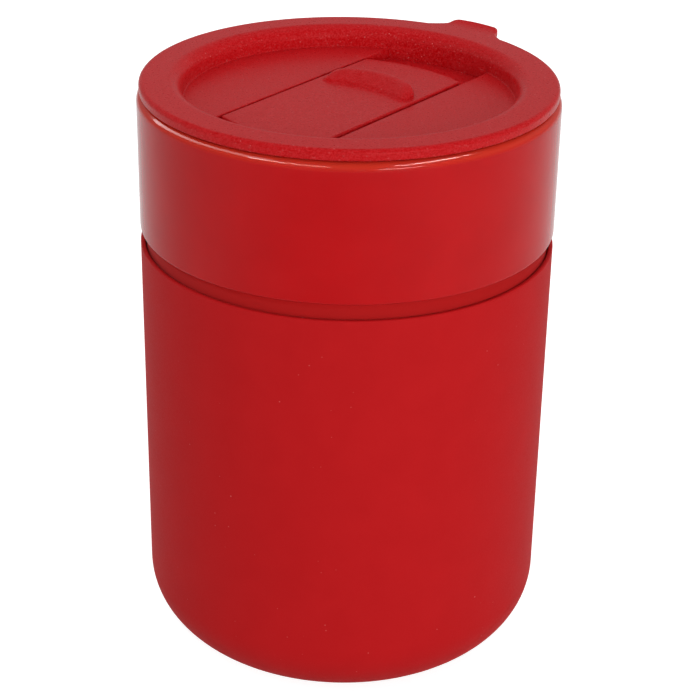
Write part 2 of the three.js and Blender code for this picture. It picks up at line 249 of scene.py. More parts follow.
cup_low, cup_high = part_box("ceramic_cup")
body_radius = cup_high.x
rim_height = cup_high.z
band_foot = rim_height - BAND_HEIGHT
neck_radius = body_radius - NECK_STEP
mouth_radius = body_radius - BAND_WALL
bore_radius = neck_radius - CUP_WALL
mouth_foot = rim_height - MOUTH_DEPTH
cup_floor = cup_low.z + CUP_FLOOR
cup = turned("cup", [
    (0, cup_low.z),
    (neck_radius, cup_low.z, CUP_CORNER),
    (neck_radius, band_foot),
    (body_radius, band_foot, BAND_FOOT_ROUND),
    (body_radius, rim_height, BAND_LIP_ROUND),
    (mouth_radius, rim_height, RIM_INNER_ROUND),
    (mouth_radius, mouth_foot),
    (bore_radius, mouth_foot - MOUTH_TAPER),
    (bore_radius, cup_floor, CUP_INNER_CORNER),
    (0, cup_floor),
])
spots = np.empty(3 * len(cup.data.vertices))
cup.data.vertices.foreach_get("co", spots)
x, y, z = spots.reshape(-1, 3).T
from_axis = np.hypot(x, y)
outside = (from_axis > (bore_radius + neck_radius) / 2) & (from_axis < neck_radius + MERGE_DISTANCE)
# The narrow part under the band: it gets a matte coat, and its colour is darkened as painted shade in the
# groove.
dry = outside & (z < band_foot + MERGE_DISTANCE)
cup.data.attributes.new("dry", "FLOAT", "POINT").data.foreach_set("value", dry.astype(float))
print("dry points on the cup:", np.count_nonzero(dry))

# %% [markdown]
# The sleeve is a silicone moulding of one even wall that is stretched over the cup. A copy of the cup with a
# Solidify modifier could make it, but a profile of its own gives it a wide base corner, and a lip that is
# rounded just enough to catch a line of light under the dark groove.

# %% Silicone sleeve
SLEEVE_WALL = 0.8 * MM
SLEEVE_BASE = 2 * MM
SLEEVE_CORNER = 11.5 * MM
SLEEVE_LIP_ROUND = 0.3 * MM

sleeve_low, sleeve_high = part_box("silicone_sleeve")
sleeve_inside = sleeve_high.x - SLEEVE_WALL
sleeve = turned("sleeve", [
    (0, sleeve_low.z),
    (sleeve_high.x, sleeve_low.z, SLEEVE_CORNER),
    (sleeve_high.x, sleeve_high.z, SLEEVE_LIP_ROUND),
    (sleeve_inside, sleeve_high.z, SLEEVE_LIP_ROUND),
    (sleeve_inside, sleeve_low.z + SLEEVE_BASE, SLEEVE_CORNER - SLEEVE_WALL),
    (0, sleeve_low.z + SLEEVE_BASE),
])

# %% [markdown]
# The seal is a silicone ring in a groove of the lid's plug. Only a lifted lid shows it. Its two lips are
# small triangles with blunt tips. Separate rings could stand for them, but a loop that adds their corners to
# one closed profile keeps the seal a single solid.

# %% Seal
SEAL_INSIDE = 29.25 * MM
SEAL_LIPS = 2
SEAL_LIP_REACH = 0.7 * MM
SEAL_LIP_TIP = 0.3 * MM
SEAL_LIP_ROUND = 0.12 * MM

seal_low, seal_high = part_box("lid_seal")
carrier = seal_high.x - SEAL_LIP_REACH
pitch = (seal_high.z - seal_low.z) / SEAL_LIPS
seal_corners = [(SEAL_INSIDE, seal_low.z), (carrier, seal_low.z)]
for lip in range(SEAL_LIPS):
    middle = seal_low.z + (lip + 0.5) * pitch
    seal_corners += [
        (carrier, middle - SEAL_LIP_REACH),
        (seal_high.x, middle - SEAL_LIP_TIP / 2, SEAL_LIP_ROUND),
        (seal_high.x, middle + SEAL_LIP_TIP / 2, SEAL_LIP_ROUND),
        (carrier, middle + SEAL_LIP_REACH),
    ]
seal_corners += [(carrier, seal_high.z), (SEAL_INSIDE, seal_high.z)]
seal = turned("seal", seal_corners, closed=True)

# %% [markdown]
# The lid is one injection moulding: a wide flange with a lift tab, a round well and a hollow plug. Its
# levels follow from the cup's rim, which the flange sits on, and its plug from the cup's mouth. They are
# worked out first, because the lid's profile, its cuts and the shutter all use them.

# %% Lid: levels and radii
SEAT_CLEARANCE = 0.2 * MM
FLANGE_THICKNESS = 1.9 * MM
WELL_RADIUS = 28.5 * MM
WELL_DEPTH = 3.6 * MM
WELL_DRAFT = 0.3 * MM
CHANNEL_DEPTH = 1.85 * MM
LID_FLOOR = 1.5 * MM
PLUG_CLEARANCE = 0.8 * MM

lid_low, lid_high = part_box("lid_body")
flange_radius = lid_high.x
flange_under = rim_height + SEAT_CLEARANCE
lid_top = flange_under + FLANGE_THICKNESS
well_floor = lid_top - WELL_DEPTH
well_foot = WELL_RADIUS - WELL_DRAFT
channel_floor = well_floor - CHANNEL_DEPTH
lid_under = channel_floor - LID_FLOOR
plug_radius = mouth_radius - PLUG_CLEARANCE
tab_reach = lid_high.y
tab_rise = lid_high.z - lid_top
print("lid: top at", round(lid_top / MM, 2), "mm, tab up by", round(tab_rise / MM, 2), "mm")

# %% [markdown]
# The tab's outline in plan is drawn with Bezier curves, each by its two ends and a point that it leans
# towards. A curve object in Blender would draw the same, but the lid needs the outline in another form: how
# far out it lies at each angle. So the curves' points become angles and radii, and the reach at any angle
# is read off between them.

# %% Lid: outline of the lift tab
TAB_WIDTH = 9.8 * MM
TAB_ROOT_WIDTH = 22 * MM
TAB_ROOT_DEPTH = 3 * MM
TAB_FLARE = 1 * MM
TAB_CORNER = 1.8 * MM
TAB_BOW = 0.3 * MM
CURVE_POINTS = 40


def bezier(start, control, end):
    """A curve that leaves start towards control and arrives at end from it."""
    share = np.linspace(0, 1, CURVE_POINTS)[:, None]
    start, control, end = np.array(start), np.array(control), np.array(end)
    return (1 - share) ** 2 * start + 2 * share * (1 - share) * control + share ** 2 * end


def tab_radius(angle):
    """How far the lid reaches at an angle from the tab's middle: the flange's radius, or the tab's outline.

    The outline is three curves: a hollow flank, a rounded corner and half of the bowed tip.
    """
    half = TAB_WIDTH / 2
    corner = tab_reach - TAB_BOW / 2
    shoulder = (half, tab_reach - TAB_CORNER)
    tip = (half - TAB_CORNER, corner)
    root = (TAB_ROOT_WIDTH / 2, flange_radius - TAB_ROOT_DEPTH)
    bowed = bezier(tip, (0, tab_reach + TAB_BOW / 2), (-tip[0], corner))
    outline = np.concatenate([
        bezier(root, (half, flange_radius + TAB_FLARE), shoulder),
        bezier(shoulder, (half, corner), tip),
        bowed[bowed[:, 0] >= 0],
        [[0, tab_reach]],
    ])
    outline_angle = np.arctan2(outline[:, 0], outline[:, 1])
    outline_radius = np.hypot(outline[:, 0], outline[:, 1])
    order = np.argsort(outline_angle)
    reach = np.interp(np.abs(angle), outline_angle[order], outline_radius[order], right=0)
    return np.maximum(reach, flange_radius)


# %% [markdown]
# Flange, well and plug are turned as one profile. The tab grows out of the flange's edge, so it isn't joined
# on: the rings near the edge are drawn out to the tab's reach at their angle, and up along its bend. The
# sector of the grid that holds the tab, and a little more, has finer steps than the rest.

# %% Lid: turned body
FLANGE_TOP_ROUND = 0.8 * MM
FLANGE_UNDER_ROUND = 0.4 * MM
WELL_EDGE_ROUND = 2.3 * MM
WELL_FLOOR_ROUND = 0.2 * MM
PLUG_WALL = 2 * MM
PLUG_EDGE_ROUND = 0.6 * MM
SEAL_FIT = 0.15 * MM
TAB_THICKNESS = 1.5 * MM
TAB_BEND = 1.5 * MM
TAB_BEND_SOFTNESS = 0.6 * MM
# The angle of the finer sector, as a multiple of the tab root's.
TAB_SECTOR = 1.1
TAB_STEPS = 160
FLANGE_STEPS = 260


def smooth_step(value):
    """0 below 0, 1 above 1, and an S-curve with level ends between them."""
    value = np.clip(value, 0, 1)
    return value * value * (3 - 2 * value)


def lid_rings():
    """The lid's turned grid with its tab.

    Each ring has a pull, which grows from 0 at the tab's root to 1 where the flange's edge starts to round.
    A point moves outwards by its pull times the tab's length at its angle. Past the bend, it then rises
    along a straight slope, which one branch of a hyperbola joins softly to the level part. Points under the
    flange rise a little more, because the tab is thinner than the flange.
    """
    inner = plug_radius - PLUG_WALL
    groove = SEAL_INSIDE - SEAL_FIT
    root = flange_radius - TAB_ROOT_DEPTH
    line = rounded_profile([
        (0, lid_under),
        (inner, lid_under),
        (inner, lid_low.z),
        (plug_radius, lid_low.z, PLUG_EDGE_ROUND),
        (plug_radius, seal_low.z - SEAL_FIT),
        (groove, seal_low.z - SEAL_FIT),
        (groove, seal_high.z + SEAL_FIT),
        (plug_radius, seal_high.z + SEAL_FIT),
        (plug_radius, flange_under),
        (flange_radius, flange_under, FLANGE_UNDER_ROUND),
        (flange_radius, lid_top, FLANGE_TOP_ROUND),
        (root, lid_top),
        (WELL_RADIUS, lid_top, WELL_EDGE_ROUND),
        (well_foot, well_floor, WELL_FLOOR_ROUND),
        (0, well_floor),
    ])
    tab_half = TAB_SECTOR * np.arcsin(TAB_ROOT_WIDTH / 2 / flange_radius)
    angle = np.concatenate([
        np.linspace(-tab_half, tab_half, TAB_STEPS, endpoint=False),
        np.linspace(tab_half, 2 * np.pi - tab_half, FLANGE_STEPS, endpoint=False),
    ])
    turn = (angle + np.pi) % (2 * np.pi) - np.pi
    height = line[:, 1:]
    pull = smooth_step((line[:, :1] - root) / (TAB_ROOT_DEPTH - FLANGE_TOP_ROUND))
    full_length = tab_reach - flange_radius
    length = tab_radius(turn) - flange_radius
    radius = line[:, :1] + pull * length
    past = radius * np.cos(angle) - flange_radius - TAB_BEND
    slope = tab_rise / (full_length - TAB_BEND)
    rise = slope * (past + np.hypot(past, TAB_BEND_SOFTNESS)) / 2
    under = 1 - np.clip((height - flange_under) / FLANGE_THICKNESS, 0, 1)
    lift = rise + under * (FLANGE_THICKNESS - TAB_THICKNESS)
    in_tab = pull * smooth_step(length / full_length)
    return np.stack([radius * np.sin(angle), radius * np.cos(angle), height + in_tab * lift], -1)


rings = lid_rings()
lid = piece("lid", rings, ring_faces(*rings.shape[:2]))
print("lid before its cuts:", len(lid.data.polygons), "faces")

# %% [markdown]
# The channel for the shutter, the sip hole, the guide slot and the two hollows under the lid are cut like a
# router cuts wood: a plan outline goes down through the material. Drawing the cuts into the turned grid
# would also work, but a plan outline is easier to read and to change. These are the plans, as points in X
# and Y that run anticlockwise.

# %% Lid: plans of the cuts
CHANNEL_WIDTH = 21.6 * MM
END_STEPS = 48


def strip_plan(half_width, radius):
    """The plan of a strip along Y that ends on a circle, in front and behind."""
    half_angle = np.arcsin(half_width / radius)
    angle = np.linspace(-half_angle, half_angle, END_STEPS)
    end = np.stack([radius * np.sin(angle), radius * np.cos(angle)], -1)
    return np.concatenate([end * [1, -1], end[::-1]])


def slot_plan(width, front, back, corner):
    """The plan of a rectangle between two values of Y, with rounded corners."""
    half = width / 2
    line = rounded_profile([
        (-half, front, corner),
        (half, front, corner),
        (half, back, corner),
        (-half, back, corner),
    ], closed=True)
    return line[:-1]


def hollow_plan(side):
    """The plan of the hollow under one side of the well: the part of a disc beyond a straight edge."""
    radius = plug_radius - PLUG_WALL - LID_FLOOR
    edge = CHANNEL_WIDTH / 2 + LID_FLOOR
    half_angle = np.arccos(edge / radius)
    angle = np.linspace(-half_angle, half_angle, END_STEPS)
    return side * radius * np.stack([np.cos(angle), np.sin(angle)], -1)


# %% [markdown]
# The cutter over a plan can flare at the top, along a quarter circle, so that the cut leaves a rounded edge.
# A Boolean modifier subtracts it, and the result is kept as the piece's mesh. The same helper joins pieces.

# %% Cutters
FLARE_STEPS = 6
FLARE_OVERRUN = 0.004 * MM
CUT_MARGIN = 2 * MM


def router(name, plan, foot, top, edge=0, spread=(1, 1)):
    """A cutter over a plan. It widens near the top by edge * (1 - cos a) as it rises by edge * sin a.

    The spread is the share of that widening along X and along Y.
    """
    ahead = np.roll(plan, -1, 0) - np.roll(plan, 1, 0)
    outward = np.stack([ahead[:, 1], -ahead[:, 0]], -1)
    outward *= spread / np.linalg.norm(outward, axis=1, keepdims=True)
    angle = np.linspace(0, np.pi / 2, FLARE_STEPS)
    widen = np.concatenate([[0], edge * (1 - np.cos(angle)), [edge]])
    rise = top - edge + edge * np.sin(angle) + FLARE_OVERRUN
    height = np.concatenate([[foot], rise, [top + CUT_MARGIN]])
    rows = plan + widen[:, None, None] * outward
    points = np.concatenate([rows, np.broadcast_to(height[:, None, None], rows.shape[:2] + (1,))], -1)
    return piece(name, points, tube_faces(*rows.shape[:2]))


def combine(target, operation, tools):
    """Cuts the tools from the target, or joins them to it, and keeps the result as its mesh."""
    for tool in tools:
        step = target.modifiers.new(tool.name, "BOOLEAN")
        step.operation = operation
        step.solver = "EXACT"
        step.object = tool
    ready = target.evaluated_get(bpy.context.evaluated_depsgraph_get())
    result = bpy.data.meshes.new_from_object(ready)
    target.modifiers.clear()
    target.data = result
    clean(result)
    for tool in tools:
        bpy.data.objects.remove(tool)
    even_shading(target)
    print(target.name, len(result.polygons), "faces")


# %% [markdown]
# The channel runs from wall to wall of the well. The sip hole lies at its front end, under the shutter, and
# the guide slot in its middle is as long as the shutter's travel, which the frame's joint gives.

# %% Lid: cuts
CHANNEL_END_LAND = 0.1 * MM
CHANNEL_SHAVE = 0.06 * MM
CHANNEL_EDGE = 0.2 * MM
SIP_WIDTH = 13 * MM
SIP_LENGTH = 7.4 * MM
SIP_EDGE = 0.9 * MM
SIP_CORNER = 2.4 * MM
SLOT_WIDTH = 6 * MM
SLOT_CORNER = 1 * MM
LEG_LENGTH = 9 * MM
LEG_CLEARANCE = 0.3 * MM
HOLE_EDGE = 0.3 * MM

slide = next(joint for joint in frame["joints"] if joint["name"] == "slider_slide")
slide_front, slide_back = slide["range_m"]
slot_margin = LEG_LENGTH / 2 + LEG_CLEARANCE
channel_end = well_foot - CHANNEL_END_LAND
channel_plan = strip_plan(CHANNEL_WIDTH / 2, well_foot + CHANNEL_SHAVE)
sip_front = SIP_EDGE - channel_end
sip_plan = slot_plan(SIP_WIDTH, sip_front, sip_front + SIP_LENGTH, SIP_CORNER)
guide_plan = slot_plan(SLOT_WIDTH, slide_front - slot_margin, slide_back + slot_margin, SLOT_CORNER)
under_cut = lid_under - CUT_MARGIN
hollow_top = well_floor - LID_FLOOR - CUT_MARGIN
combine(lid, "DIFFERENCE", [
    router("channel", channel_plan, channel_floor, well_floor, CHANNEL_EDGE, spread=(1, 0)),
    router("sip", sip_plan, under_cut, channel_floor, HOLE_EDGE),
    router("guide", guide_plan, under_cut, channel_floor, HOLE_EDGE),
    router("hollow_right", hollow_plan(1), under_cut, hollow_top),
    router("hollow_left", hollow_plan(-1), under_cut, hollow_top),
])

# %% [markdown]
# The shutter is a plate that slides along the channel, with a crescent ridge for the thumb. Ridge and plate
# are one moulding and run into each other softly, so the ridge is a height added to the plate's own grid,
# and not a second solid. Two functions describe it: where its edges lie, and how high it is between them.

# %% Shutter: thumb ridge
RIDGE_SPAN = 17.8 * MM
RIDGE_WIDTH = 4.2 * MM
RIDGE_MIDDLE = 8.2 * MM
RIDGE_BOW = 3 * MM
RIDGE_FOOT = 1.7 * MM
RIDGE_FOOT_EASE = 0.9 * MM
# Shares of the ridge's width or height.
RIDGE_CREST = 0.84
RIDGE_FOOT_FILLET = 0.2
RIDGE_SAG = 0.1
RIDGE_TIP = 0.5
RIDGE_SOFTNESS = 0.12
# Powers of the curves of its face and of its ends.
RIDGE_ROLL = 1.3
RIDGE_END = 9


def soft_minimum(first, second, width):
    """The smaller of two values, with a rounded turn where they cross."""
    share = np.clip(0.5 + 0.5 * (second - first) / width, 0, 1)
    return second + (first - second) * share - width * share * (1 - share)


def ridge_edges(x):
    """The foot of the ridge's face and its back edge, as values of Y for each X on its span.

    The middle of the ridge's width follows a circle, which falls by the bow from its middle to its ends. The
    width there is rounded like an ellipse of a higher power, and stops at a blunt tip. The face reaches out
    further in front, but less so towards the ends, so its foot is straighter than its crest.
    """
    half = RIDGE_SPAN / 2
    inside = np.clip(x, -half, half)
    radius = (half ** 2 + RIDGE_BOW ** 2) / (2 * RIDGE_BOW)
    middle = RIDGE_MIDDLE - radius + np.sqrt(radius ** 2 - inside ** 2)
    share = np.abs(inside / half)
    fullness = np.sqrt(1 - (1 - RIDGE_TIP ** 2) * share ** RIDGE_END)
    reach = RIDGE_WIDTH / 2 + RIDGE_FOOT - RIDGE_FOOT_EASE * share ** 2
    return middle - fullness * reach, middle + fullness * RIDGE_WIDTH / 2


def ridge_swell(x, along):
    """The ridge's height, from 0 to 1: a face that rolls over to the crest, and a rounded fall behind it.

    The face is a quarter of an ellipse of its own power, steep at the foot, which a short S-curve softens.
    The fall is a quarter ellipse. Their rounded meeting lies lower than 1 by a quarter of its softness, so
    the height is divided by what that leaves. Towards the ridge's ends, it sags a little and then fades by a
    rounded step.
    """
    climb = np.clip(along / RIDGE_CREST, 0, 1)
    slope = (1 - (1 - climb) ** RIDGE_ROLL) ** (1 / RIDGE_ROLL) * smooth_step(climb / RIDGE_FOOT_FILLET)
    drop = np.clip((along - RIDGE_CREST) / (1 - RIDGE_CREST), 0, 1)
    fall = np.sqrt(1 - drop ** 2)
    share = np.clip(np.abs(2 * x / RIDGE_SPAN), 0, 1)
    ends = (1 - RIDGE_SAG * share ** 2) * np.sqrt(1 - share ** RIDGE_END)
    crest = soft_minimum(slope, fall, RIDGE_SOFTNESS) / (1 - RIDGE_SOFTNESS / 4)
    return np.clip(crest, 0, 1) * ends


# %% [markdown]
# Each column of the shutter's grid is a closed loop round the plate: along the top, down the back edge,
# along the underside and up the front edge. The columns crowd together at the ridge's ends, and the rows at
# its foot and its back, where it bends most.

# %% Shutter: plate
SHUTTER_EDGE = 0.3 * MM
SHUTTER_PROUD = 0.15 * MM
SLIDE_CLEARANCE = 0.3 * MM
SHUTTER_END_CLEARANCE = 0.3 * MM
RIDGE_COLUMNS = 48
RIDGE_ROWS = 56
PLAIN_ROWS = 10
EDGE_STEPS = 6

shutter_low, shutter_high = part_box("lid_slider")
shutter_half = shutter_high.x
shutter_top = well_floor + SHUTTER_PROUD
shutter_under = channel_floor + SLIDE_CLEARANCE
shutter_end = channel_end - SHUTTER_END_CLEARANCE
ridge_height = shutter_high.z - shutter_top


def shutter_loops():
    """The shutter's grid: one closed loop in Y and Z for each X.

    The corners are quarter circles. Where X rounds the plate's side, the loop's own circles shrink with it,
    so the plate's corners are parts of a sphere.
    """
    quarter = np.linspace(0, np.pi / 2, EDGE_STEPS + 1)
    flat = shutter_half - SHUTTER_EDGE
    right = np.concatenate([
        RIDGE_SPAN / 2 * np.sin(np.linspace(0, np.pi / 2, RIDGE_COLUMNS)),
        np.linspace(RIDGE_SPAN / 2, flat, EDGE_STEPS)[1:],
        flat + SHUTTER_EDGE * np.sin(quarter)[1:],
    ])
    x = np.concatenate([-right[:0:-1], right])[:, None]
    round_here = np.sqrt(SHUTTER_EDGE ** 2 - np.maximum(np.abs(x) - flat, 0) ** 2)
    bow = np.sqrt(shutter_end ** 2 - x ** 2)
    start = shutter_low.y + shutter_end - bow + SHUTTER_EDGE
    stop = shutter_high.y - shutter_end + bow - SHUTTER_EDGE
    front, back = ridge_edges(x)
    plain = np.linspace(0, 1, PLAIN_ROWS, endpoint=False)
    top_y = np.hstack([
        start + (front - start) * plain,
        front + (back - front) * crowded(RIDGE_ROWS)[:-1],
        back + (stop - back) * plain,
        stop,
    ])
    along = np.clip((top_y - front) / (back - front), 0, 1)
    upper, lower = shutter_top - SHUTTER_EDGE, shutter_under + SHUTTER_EDGE
    top_z = upper + round_here + ridge_height * ridge_swell(x, along)
    under_y = stop + (start - stop) * np.linspace(0, 1, PLAIN_ROWS)
    across, down = round_here * np.sin(quarter), round_here * np.cos(quarter)
    loop_y = np.hstack([
        top_y,
        stop + across,
        (stop + across)[:, ::-1],
        under_y,
        start - across,
        (start - across)[:, ::-1],
    ])
    loop_z = np.hstack([
        top_z,
        upper + down,
        (lower - down)[:, ::-1],
        np.broadcast_to(lower - round_here, under_y.shape),
        lower - down,
        (upper + down)[:, ::-1],
    ])
    return np.stack([np.broadcast_to(x, loop_y.shape), loop_y, loop_z], -1)


loops = shutter_loops()
shutter = piece("shutter", loops, tube_faces(*loops.shape[:2]))
print("shutter's ridge:", round(ridge_height / MM, 2), "mm high")

# %% [markdown]
# Two snap legs hang from the shutter through the guide slot, and their hooks keep it in the lid. They are
# straight prisms with a hook in their outline. A Boolean joins them to the plate, so that the shutter is one
# solid, as it would be from its mould.

# %% Shutter: snap legs
LEG_THICKNESS = 1.3 * MM
HOOK_REACH = 1.1 * MM
HOOK_LAND = 0.4 * MM


def snap_leg(name, side):
    """A leg's outline in X and Z, drawn straight along Y."""
    outer = SLOT_WIDTH / 2 - LEG_CLEARANCE
    hook_top = lid_under - SLIDE_CLEARANCE
    root = (shutter_under + shutter_top) / 2
    outline = np.array([
        (outer - LEG_THICKNESS, root),
        (outer, root),
        (outer, hook_top),
        (outer + HOOK_REACH, hook_top),
        (outer + HOOK_REACH, hook_top - HOOK_LAND),
        (outer, shutter_low.z),
        (outer - LEG_THICKNESS, shutter_low.z),
    ])
    ends = np.array([[-LEG_LENGTH / 2], [LEG_LENGTH / 2]])
    points = np.stack(np.broadcast_arrays(side * outline[:, 0], ends, outline[:, 1]), -1)
    return piece(name, points, tube_faces(*points.shape[:2]))


combine(shutter, "UNION", [snap_leg("leg_right", 1), snap_leg("leg_left", -1)])

# %% [markdown]
# Every piece rides on the CAD body that moves it and stands in for its CAD node. The table also gives the
# name of each piece's finish, which the loop doesn't use.

# %% Bodies, nodes and slots
PLACES = [
    (cup, "mug", "ceramic_cup", "red_glaze"),
    (sleeve, "mug", "silicone_sleeve", "red_silicone"),
    (lid, "lid", "lid_body", "red_plastic"),
    (seal, "lid", "lid_seal", "red_silicone"),
    (shutter, "slider", "lid_slider", "red_plastic"),
]
for made, body, node, slot in PLACES:
    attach(made, body)
    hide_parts(node)
    print(made.name, "stands for", node, "and rides on", body)

# %% [markdown]
# The finishes are built from nodes. Small helpers keep the node code short: one starts a material, one adds
# a node and sets its constants, and the others each make one step that the finishes share. Noise keeps close
# to its middle value, so a finish stretches the spread or the narrower core of it over the range it needs.

# %% Node helpers
NOISE_SPREAD = (0.3, 0.7)
NOISE_CORE = (0.35, 0.65)


def new_material(name):
    """A material with its node tree and its Principled shader."""
    made = bpy.data.materials.new(name)
    made.use_nodes = True
    return made, made.node_tree, made.node_tree.nodes["Principled BSDF"]


def add(tree, kind, links=(), **values):
    """A node of a kind. Links join outputs to its inputs, and values set its other inputs."""
    made = tree.nodes.new(kind)
    for socket, value in values.items():
        made.inputs[socket.replace("_", " ")].default_value = value
    for socket, output in links:
        tree.links.new(output, made.inputs[socket])
    return made


def noise(tree, place, size, detail=2.0):
    """Noise whose features are about as large as size, from 0 to 1."""
    made = add(tree, "ShaderNodeTexNoise", [("Vector", place)], Scale=1 / size, Detail=detail)
    return made.outputs["Fac"]


def ranged(tree, value, low, high, out_low, out_high):
    """A value mapped from one range to another, and held inside it."""
    ends = dict(From_Min=low, From_Max=high, To_Min=out_low, To_Max=out_high)
    return add(tree, "ShaderNodeMapRange", [("Value", value)], **ends).outputs["Result"]


def maths(tree, operation, first, second):
    """The result of one operation on two values, each an output or a plain number."""
    made = tree.nodes.new("ShaderNodeMath")
    made.operation = operation
    for socket, value in zip(made.inputs, (first, second)):
        if isinstance(value, float):
            socket.default_value = value
        else:
            tree.links.new(value, socket)
    return made.outputs["Value"]


def mixed(tree, share, first, second):
    """A colour between two: the first where the share is 0, the second where it is 1."""
    made = tree.nodes.new("ShaderNodeMix")
    made.data_type = "RGBA"
    colours = [s for s in made.inputs if s.type == "RGBA"]
    tree.links.new(share, made.inputs["Factor"])
    for socket, colour in zip(colours, (first, second)):
        if isinstance(colour, tuple):
            socket.default_value = colour
        else:
            tree.links.new(colour, socket)
    return next(s for s in made.outputs if s.type == "RGBA")


def bumped(tree, height, depth):
    """A normal that is bent as if the surface rose by depth where the height is 1."""
    made = add(tree, "ShaderNodeBump", [("Height", height)], Strength=1.0, Distance=depth)
    return made.outputs["Normal"]


# %% [markdown]
# The glaze is a coloured glass over the clay: smooth and glossy, and a touch lighter and more orange where
# it runs thin on the rim, which is known by its height. Slow noise mottles its colour and its gloss, and
# lets its surface wave a little. The dry coat under the band is matte, and its colour is darker as painted
# shade for the groove that it sits in. It could be a material of its own, but the cup has one slot, so its
# one material reads the mark on the cup's points instead.

# %% Finish: glaze
GLAZE = (0.52, 0.004, 0.006, 1)
GLAZE_DEEP = (0.49, 0.003, 0.005, 1)
GLAZE_MOTTLE = 9 * MM
GLAZE_GLOSS_PATCH = 4 * MM
GLAZE_ROUGHNESS = (0.07, 0.12)
GLAZE_WAVE = 12 * MM
GLAZE_WAVE_HEIGHT = 0.06 * MM
GLAZE_IOR = 1.25
GLAZE_THIN = (0.66, 0.045, 0.022, 1)
THIN_FOOT = 1.4 * MM
THIN_TOP = 0.6 * MM
THIN_SHARE = 0.7
# The dry coat's colour is darker than the glaze: painted shade for the groove under the band.
DRY_COAT_PAINTED_SHADE = (0.44, 0.005, 0.005, 1)
DRY_ROUGHNESS = 0.75

glaze, tree, shader = new_material("red_glaze")
place = add(tree, "ShaderNodeTexCoord").outputs["Object"]
height = add(tree, "ShaderNodeSeparateXYZ", [("Vector", place)]).outputs["Z"]
mark = tree.nodes.new("ShaderNodeAttribute")
mark.attribute_name = "dry"
dry = mark.outputs["Fac"]
mottle = ranged(tree, noise(tree, place, GLAZE_MOTTLE), *NOISE_CORE, 0, 1)
thin = ranged(tree, height, rim_height - THIN_FOOT, rim_height - THIN_TOP, 0, THIN_SHARE)
body_colour = mixed(tree, mottle, GLAZE_DEEP, GLAZE)
glazed_colour = mixed(tree, thin, body_colour, GLAZE_THIN)
# Painted shade: the dry part under the band takes the darker colour.
tree.links.new(mixed(tree, dry, glazed_colour, DRY_COAT_PAINTED_SHADE), shader.inputs["Base Color"])
glazed = ranged(tree, noise(tree, place, GLAZE_GLOSS_PATCH), *NOISE_SPREAD, *GLAZE_ROUGHNESS)
dulled = ranged(tree, dry, 0, 1, 0, DRY_ROUGHNESS)
tree.links.new(maths(tree, "MAXIMUM", glazed, dulled), shader.inputs["Roughness"])
wave = noise(tree, place, GLAZE_WAVE, detail=0)
tree.links.new(bumped(tree, wave, GLAZE_WAVE_HEIGHT), shader.inputs["Normal"])
shader.inputs["IOR"].default_value = GLAZE_IOR
cup.data.materials.append(glaze)
print(glaze.name, len(tree.nodes), "nodes")

# %% [markdown]
# Silicone is matte and soft to the eye. A fine grain breaks up its highlight, and a few specks of lint show
# on it, with finer dust in patches, as on the real thing. Small scattered pieces could be the lint, but the
# centres of a cell pattern look the same and add no faces.

# %% Finish: silicone
SILICONE = (0.52, 0.008, 0.010, 1)
SILICONE_DEEP = (0.50, 0.007, 0.009, 1)
SILICONE_CLOUD = 6 * MM
SILICONE_GRAIN = 0.3 * MM
SILICONE_GRAIN_HEIGHT = 0.012 * MM
SILICONE_ROUGHNESS = (0.58, 0.7)
SILICONE_IOR = 1.23
LINT = (0.72, 0.30, 0.28, 1)
LINT_SPACING = 9 * MM
LINT_RADIUS = 0.16 * MM
DUST_SPACING = 2.4 * MM
DUST_RADIUS = 0.14 * MM
DUST_PATCH = 24 * MM
DUST_EDGE = (0.46, 0.58)
DUST_SHARE = 0.75


def specks(tree, place, spacing, radius):
    """1 at the centre of each speck, falling to 0 at its radius. The specks lie a spacing apart or so."""
    cells = add(tree, "ShaderNodeTexVoronoi", [("Vector", place)], Scale=1 / spacing)
    return ranged(tree, cells.outputs["Distance"], 0, radius / spacing, 1, 0)


silicone, tree, shader = new_material("red_silicone")
place = add(tree, "ShaderNodeTexCoord").outputs["Object"]
patches = ranged(tree, noise(tree, place, DUST_PATCH), *DUST_EDGE, 0, DUST_SHARE)
dust = maths(tree, "MULTIPLY", specks(tree, place, DUST_SPACING, DUST_RADIUS), patches)
lint = maths(tree, "MAXIMUM", specks(tree, place, LINT_SPACING, LINT_RADIUS), dust)
clouds = ranged(tree, noise(tree, place, SILICONE_CLOUD), *NOISE_SPREAD, 0, 1)
grain = noise(tree, place, SILICONE_GRAIN)
body_colour = mixed(tree, clouds, SILICONE_DEEP, SILICONE)
tree.links.new(mixed(tree, lint, body_colour, LINT), shader.inputs["Base Color"])
tree.links.new(ranged(tree, grain, *NOISE_SPREAD, *SILICONE_ROUGHNESS), shader.inputs["Roughness"])
tree.links.new(bumped(tree, grain, SILICONE_GRAIN_HEIGHT), shader.inputs["Normal"])
shader.inputs["IOR"].default_value = SILICONE_IOR
for made in (sleeve, seal):
    made.data.materials.append(silicone)
print(silicone.name, len(tree.nodes), "nodes")

# %% [markdown]
# The lid and the shutter are polypropylene from a spark-eroded mould, which leaves a fine grain. Displaced
# faces could show it, but they would be far too many, so the grain is bump at two scales, and it also varies
# the colour and the gloss a little. Small pale glints are painted into the colour as specks like the lint,
# but closer together: painted highlights, which don't follow the bump or the lamps. Steep faces, known by
# their normal in the piece's own space, get more of these painted glints, though fainter ones.

# %% Finish: grained plastic
PLASTIC = (0.57, 0.015, 0.019, 1)
PLASTIC_DEEP = (0.49, 0.002, 0.004, 1)
PLASTIC_ROUGHNESS = (0.26, 0.36)
PLASTIC_IOR = 1.23
FINE_GRAIN = 0.26 * MM
COARSE_GRAIN = 0.6 * MM
COARSE_SHARE = 0.4
GRAIN_HEIGHT = 0.017 * MM
